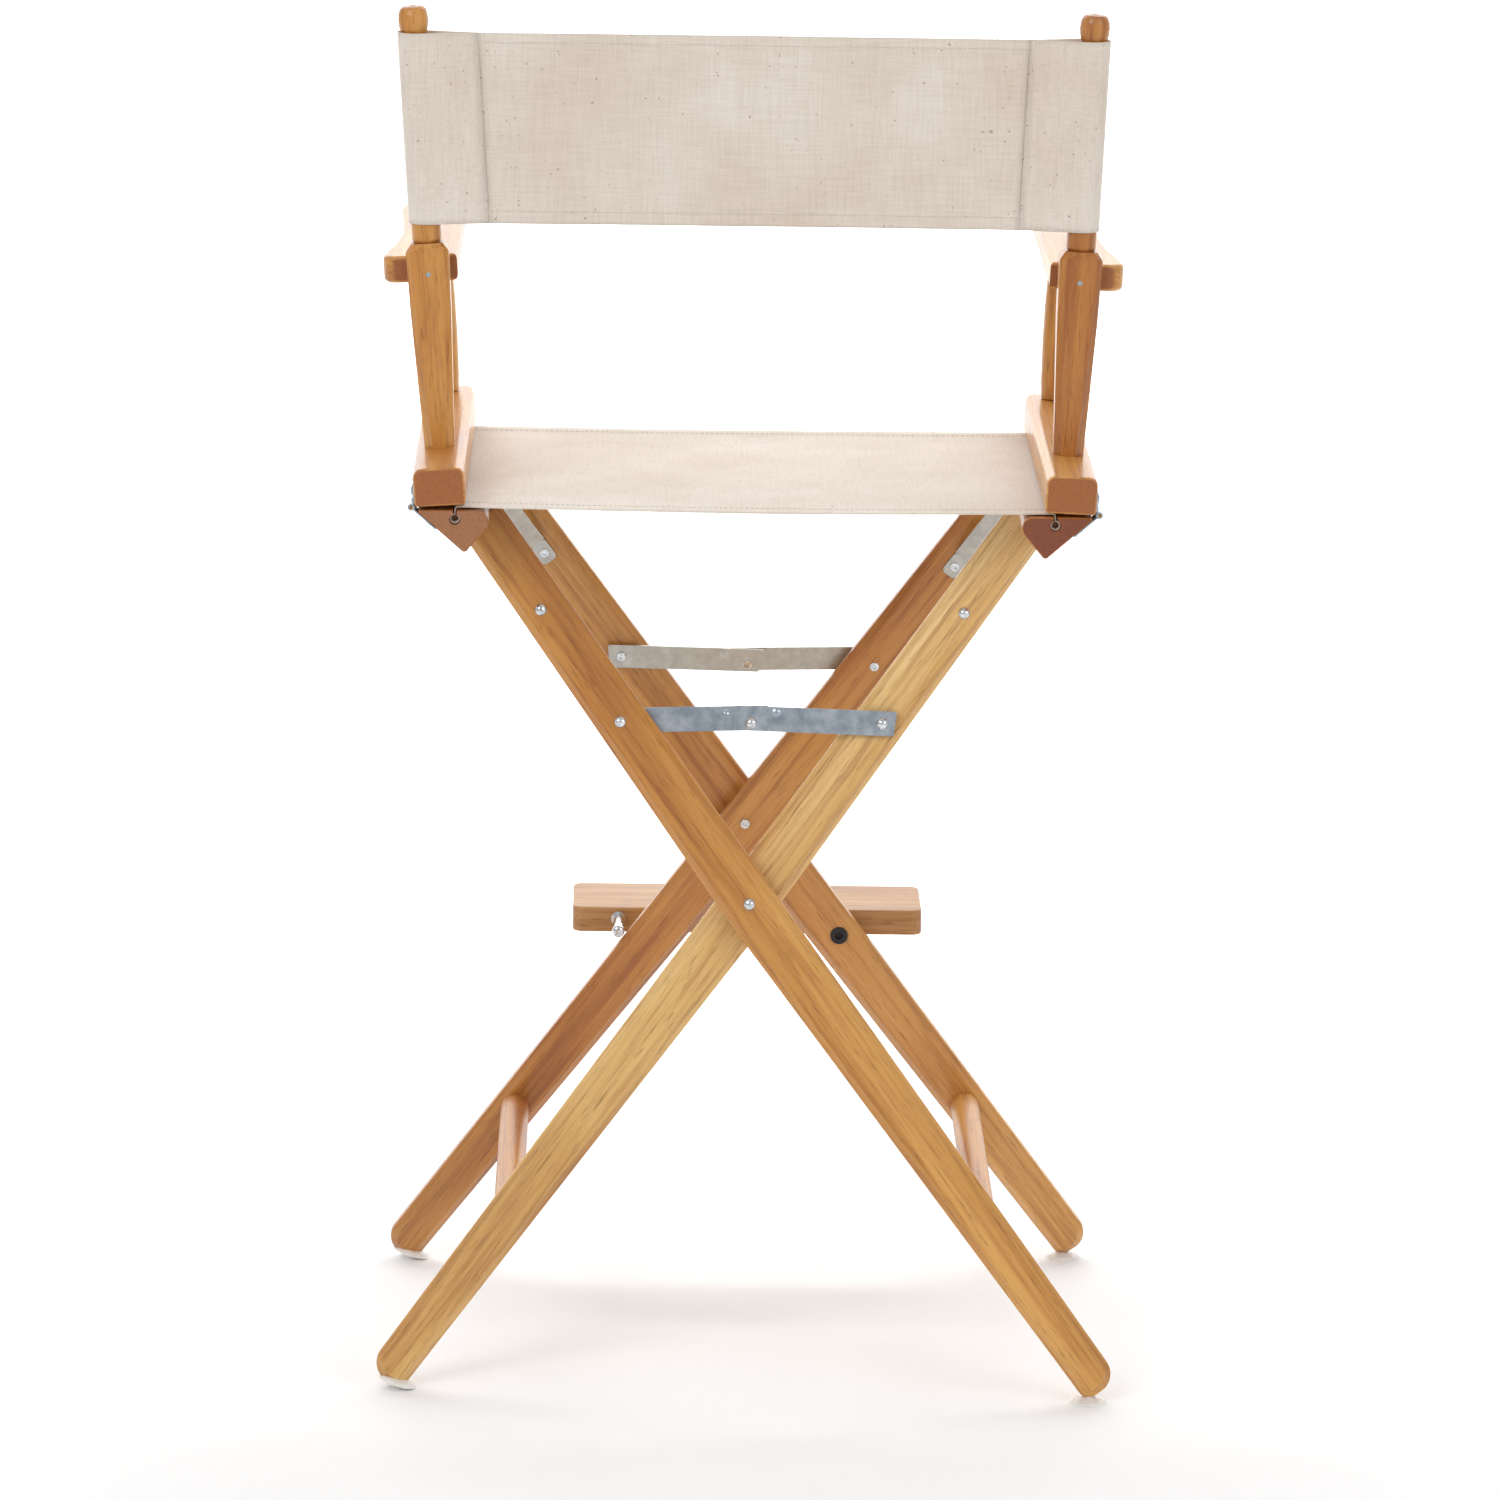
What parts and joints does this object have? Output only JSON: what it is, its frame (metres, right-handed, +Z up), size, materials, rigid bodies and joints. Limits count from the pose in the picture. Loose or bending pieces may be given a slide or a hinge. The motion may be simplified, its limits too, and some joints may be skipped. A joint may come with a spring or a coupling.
{
  "type": "folding director chair",
  "caption": "Tall folding director chair in varnished wood with natural canvas seat and back, crossed legs, steel folding spreaders and a small footrest.",
  "frame": {"origin": "middle of the chair in plan, on the floor", "axes": "+Z up, the sitter faces -Y, the sitter's left is +X"},
  "size_m": [0.6008, 0.5331, 1.1171],
  "materials": {
    "varnished_wood": "glossy",
    "chrome_rivets": "polished",
    "zinc_steel": "satin",
    "black_steel": "satin",
    "brass_pins": "satin",
    "glide_plastic": "matte",
    "canvas": "woven"
  },
  "bodies": {
    "outer_frame": {"leg_outer_rear": "varnished_wood", "brace_outer_rear": "zinc_steel", "leg_outer_front": "varnished_wood", "brace_outer_front": "zinc_steel", "stretcher_outer": "varnished_wood", "rivets_outer": "chrome_rivets", "brace_screws_outer": "zinc_steel", "glides_outer": "glide_plastic", "seat_block_left": "varnished_wood", "hinge_block_left": "zinc_steel", "screws_block_left": "zinc_steel", "hinge_pins_left": "brass_pins", "seat_rod_left": "varnished_wood", "pivot_rear": "chrome_rivets", "pivot_front": "chrome_rivets", "seat_canvas": "canvas", "footrest_bolt": "black_steel"},
    "inner_frame": {"leg_inner_rear": "varnished_wood", "brace_inner_rear": "zinc_steel", "leg_inner_front": "varnished_wood", "brace_inner_front": "zinc_steel", "stretcher_inner": "varnished_wood", "rivets_inner": "chrome_rivets", "brace_screws_inner": "zinc_steel", "glides_inner": "glide_plastic", "seat_block_right": "varnished_wood", "hinge_block_right": "zinc_steel", "screws_block_right": "zinc_steel", "hinge_pins_right": "brass_pins", "seat_rod_right": "varnished_wood"},
    "left_side": {"rail_left": "varnished_wood", "rear_post_left": "varnished_wood", "back_post_left": "varnished_wood", "front_post_left": "varnished_wood", "arm_left": "varnished_wood", "arm_screw_left": "zinc_steel", "hinge_rail_left": "zinc_steel", "screws_rail_left": "zinc_steel", "back_canvas": "canvas"},
    "right_side": {"rail_right": "varnished_wood", "rear_post_right": "varnished_wood", "back_post_right": "varnished_wood", "front_post_right": "varnished_wood", "arm_right": "varnished_wood", "arm_screw_right": "zinc_steel", "hinge_rail_right": "zinc_steel", "screws_rail_right": "zinc_steel"},
    "spreader_outer_rear": {"spreader_outer_rear": "zinc_steel", "centre_rivet_outer_rear": "chrome_rivets"},
    "spreader_outer_front": {"spreader_outer_front": "zinc_steel", "centre_rivet_outer_front": "chrome_rivets"},
    "spreader_inner_rear": {"spreader_inner_rear": "zinc_steel", "centre_rivet_inner_rear": "chrome_rivets"},
    "spreader_inner_front": {"spreader_inner_front": "zinc_steel", "centre_rivet_inner_front": "chrome_rivets"},
    "footrest": {"footrest_board": "varnished_wood", "footrest_pin": "chrome_rivets"}
  },
  "joints": [
    {"name": "fold", "type": "hinge", "parent": "outer_frame", "child": "inner_frame", "pos_m": [-0.00188, 0.02744, 0.4], "axis": [0, 1, 0], "range_deg": [0, 58], "deforming": ["seat_canvas", "back_canvas"]},
    {"name": "left_hinge", "type": "hinge", "parent": "outer_frame", "child": "left_side", "pos_m": [0.27311, 0.02744, 0.7275], "axis": [0, 1, 0], "range_deg": [0, 29]},
    {"name": "right_hinge", "type": "hinge", "parent": "inner_frame", "child": "right_side", "pos_m": [-0.27688, 0.02744, 0.7275], "axis": [0, 1, 0], "range_deg": [-29, 0]},
    {"name": "spreader_outer_rear", "type": "hinge", "parent": "outer_frame", "child": "spreader_outer_rear", "pos_m": [0.1043, 0.16084, 0.54328], "axis": [0, 0.9899, 0.1419], "range_deg": [0, 106.82]},
    {"name": "spreader_outer_front", "type": "hinge", "parent": "outer_frame", "child": "spreader_outer_front", "pos_m": [0.1043, -0.10597, 0.54328], "axis": [0, 0.9899, -0.1419], "range_deg": [0, 106.82]},
    {"name": "spreader_inner_rear", "type": "hinge", "parent": "inner_frame", "child": "spreader_inner_rear", "pos_m": [-0.10807, 0.16422, 0.54377], "axis": [0, 0.9899, 0.1419], "range_deg": [-106.82, 0]},
    {"name": "spreader_inner_front", "type": "hinge", "parent": "inner_frame", "child": "spreader_inner_front", "pos_m": [-0.10807, -0.10935, 0.54377], "axis": [0, 0.9899, -0.1419], "range_deg": [-106.82, 0]},
    {"name": "footrest", "type": "hinge", "parent": "outer_frame", "child": "footrest", "pos_m": [-0.08389, 0.02744, 0.295], "axis": [0, -1, 0], "range_deg": [0, 40]}
  ],
  "couplings": [
    {"joint": "left_hinge", "follows": "fold", "ratio": 0.5},
    {"joint": "right_hinge", "follows": "fold", "ratio": -0.5},
    {"joint": "spreader_outer_rear", "follows": "fold", "ratio": 1.84},
    {"joint": "spreader_outer_front", "follows": "fold", "ratio": 1.84},
    {"joint": "spreader_inner_rear", "follows": "fold", "ratio": -1.84},
    {"joint": "spreader_inner_front", "follows": "fold", "ratio": -1.84}
  ]
}
